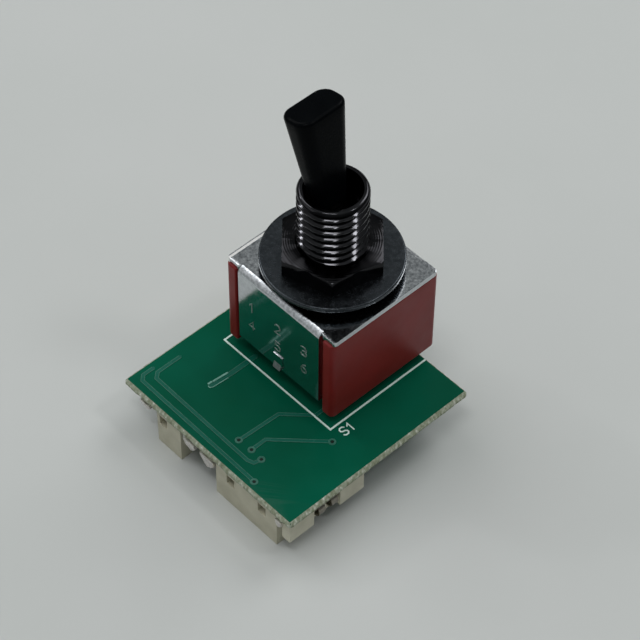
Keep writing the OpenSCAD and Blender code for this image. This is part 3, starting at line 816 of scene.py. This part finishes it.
# Plain terminal numbers on the front leg, and the raised mark at its foot, in millimetres
LEG_Y = low_mm("frame", "y") + 0.1
LEG_LOW = low_mm("frame", "z")
FIGURES = {
    1: [[(0.1, 0.75), (0.35, 1.0), (0.35, 0.0)]],
    2: [[(0.0, 0.8), (0.15, 1.0), (0.45, 1.0), (0.6, 0.8), (0.6, 0.62), (0.0, 0.0), (0.6, 0.0)]],
    3: [[(0.0, 0.9), (0.2, 1.0), (0.45, 1.0), (0.6, 0.85), (0.6, 0.65), (0.4, 0.52), (0.2, 0.52)],
        [(0.4, 0.52), (0.6, 0.38), (0.6, 0.15), (0.45, 0.0), (0.15, 0.0), (0.0, 0.1)]],
    4: [[(0.45, 0.0), (0.45, 1.0), (0.0, 0.3), (0.62, 0.3)]],
    5: [[(0.55, 1.0), (0.08, 1.0), (0.03, 0.55), (0.35, 0.6), (0.58, 0.45), (0.58, 0.18), (0.4, 0.0),
         (0.15, 0.0), (0.0, 0.1)]],
    6: [[(0.5, 1.0), (0.2, 0.85), (0.02, 0.5), (0.02, 0.2), (0.2, 0.0), (0.42, 0.0), (0.58, 0.18),
         (0.58, 0.38), (0.42, 0.55), (0.18, 0.55), (0.03, 0.42)]],
}


def on_leg(x, z):
    """The plane of a figure whose lower left corner is at x and z on the leg."""
    size = 1.05

    def plane(u, v, h):
        return (x + u * size, LEG_Y - h, z + v * size)

    return plane


def leg_figures():
    """Two rows of three figures, raised a little from the leg."""
    first_x, step_x = -3.6, 3.2
    first_z, step_z = -7.2, 2.2
    strokes = []
    for figure, lines in FIGURES.items():
        row, column = divmod(figure - 1, 3)
        plane = on_leg(first_x + step_x * column, first_z - step_z * row)
        strokes += [strip(line, width=0.1, height=0.025, base=0.0, plane=plane) for line in lines]
    gather("leg_figures", strokes, "pressed")


def leg_mark():
    """A wedge that stands out most at its foot."""
    half_width, out = 0.42, 0.3
    top = LEG_LOW + 1.0
    foot = LEG_LOW + 0.1
    side = ((0.0, top), (-out, foot), (0.0, foot))
    verts = [(s * half_width, LEG_Y + d, z) for s in (-1, 1) for d, z in side]
    faces = [(0, 1, 2), (5, 4, 3), (0, 3, 4, 1), (1, 4, 5, 2), (2, 5, 3, 0)]
    gather("leg_mark", [(verts, faces)], "pressed_mark")


leg_figures()
leg_mark()


# Floor, light and camera; angles are in degrees and the camera's lengths in millimetres
CAMERA_AZ = 46.576
CAMERA_EL = 49.603
CAMERA_ROLL = 0.525
CAMERA_DISTANCE = 200.906
CAMERA_TARGET = Vector((0.353, -1.672, 5.0 + BOARD_TOP))
FOCAL_PX = 2389.66
IMAGE_PX = 640.0
SENSOR = 36.0
LAMP_AIM = Vector((0, 0, -0.008))
LAMP_DISTANCE = 0.5


def floor():
    half = 1.5
    clearance = 0.02
    me = bpy.data.meshes.new("floor")
    corners = [(-half, -half, 0), (half, -half, 0), (half, half, 0), (-half, half, 0)]
    me.from_pydata(corners, [], [(0, 1, 2, 3)])
    me.materials.append(finish("pale_table", (0.60, 0.625, 0.61), (0.63, 0.65, 0.64), (0.6, 0.7), scale=35.0))
    ob = bpy.data.objects.new("floor", me)
    ob.location.z = (TABLE - clearance) * MM
    scene.collection.objects.link(ob)


def lamp(name, side, height, size, radiance):
    """An area light, side degrees to the right of the camera's azimuth and height degrees above the table."""
    turn = math.radians(CAMERA_AZ - 90 + side)
    rise = math.radians(height)
    way = Vector((math.cos(turn) * math.cos(rise), math.sin(turn) * math.cos(rise), math.sin(rise)))
    light = bpy.data.lights.new(name, "AREA")
    light.shape = "RECTANGLE"
    light.size, light.size_y = size
    light.energy = radiance * math.pi * size[0] * size[1]
    ob = bpy.data.objects.new(name, light)
    ob.location = LAMP_AIM + way * LAMP_DISTANCE
    ob.rotation_euler = (-way).to_track_quat("-Z", "Y").to_euler()
    scene.collection.objects.link(ob)


def room():
    """A dim room, lighter overhead than near the table."""
    world = bpy.data.worlds.new("room")
    world.use_nodes = True
    nt = world.node_tree
    background = nt.nodes["Background"]
    up = split(nt, nt.nodes.new("ShaderNodeTexCoord").outputs["Generated"])["Z"]
    glow = ramp(nt, up, [(0.0, (0.14, 0.15, 0.15)), (0.4, (0.28, 0.29, 0.29)), (1.0, (0.96, 1.0, 0.99))])
    nt.links.new(glow, background.inputs["Color"])
    background.inputs["Strength"].default_value = 0.38
    scene.world = world


def camera():
    az = math.radians(CAMERA_AZ)
    el = math.radians(CAMERA_EL)
    roll = math.radians(CAMERA_ROLL)
    back = Vector((math.sin(az) * math.cos(el), -math.cos(az) * math.cos(el), math.sin(el)))
    right = (-back).cross(Vector((0, 0, 1))).normalized()
    up = right.cross(-back)
    rolled_right = right * math.cos(roll) + up * math.sin(roll)
    rolled_up = up * math.cos(roll) - right * math.sin(roll)
    cam = bpy.data.cameras.new("camera")
    cam.sensor_width = SENSOR
    cam.lens = FOCAL_PX * SENSOR / IMAGE_PX
    cam.clip_start = 0.01
    cam.clip_end = 10
    ob = bpy.data.objects.new("camera", cam)
    placed = Matrix((rolled_right, rolled_up, back)).transposed().to_4x4()
    placed.translation = (CAMERA_TARGET + back * CAMERA_DISTANCE) * MM
    ob.matrix_world = placed
    scene.collection.objects.link(ob)
    scene.camera = ob


floor()
lamp("back_left", side=-138, height=52, size=(0.26, 0.24), radiance=2.5)
lamp("back_right", side=140, height=45, size=(0.24, 0.2), radiance=4.0)
lamp("left_wall", side=-82, height=27, size=(0.5, 0.3), radiance=0.5)
lamp("front_strip", side=-17, height=70, size=(0.2, 0.04), radiance=13.0)
lamp("right_lamp", side=80, height=57, size=(0.06, 0.06), radiance=16.0)
lamp("left_lamp", side=-118, height=35, size=(0.035, 0.035), radiance=30.0)
room()
scene.view_settings.view_transform = "Standard"
camera()
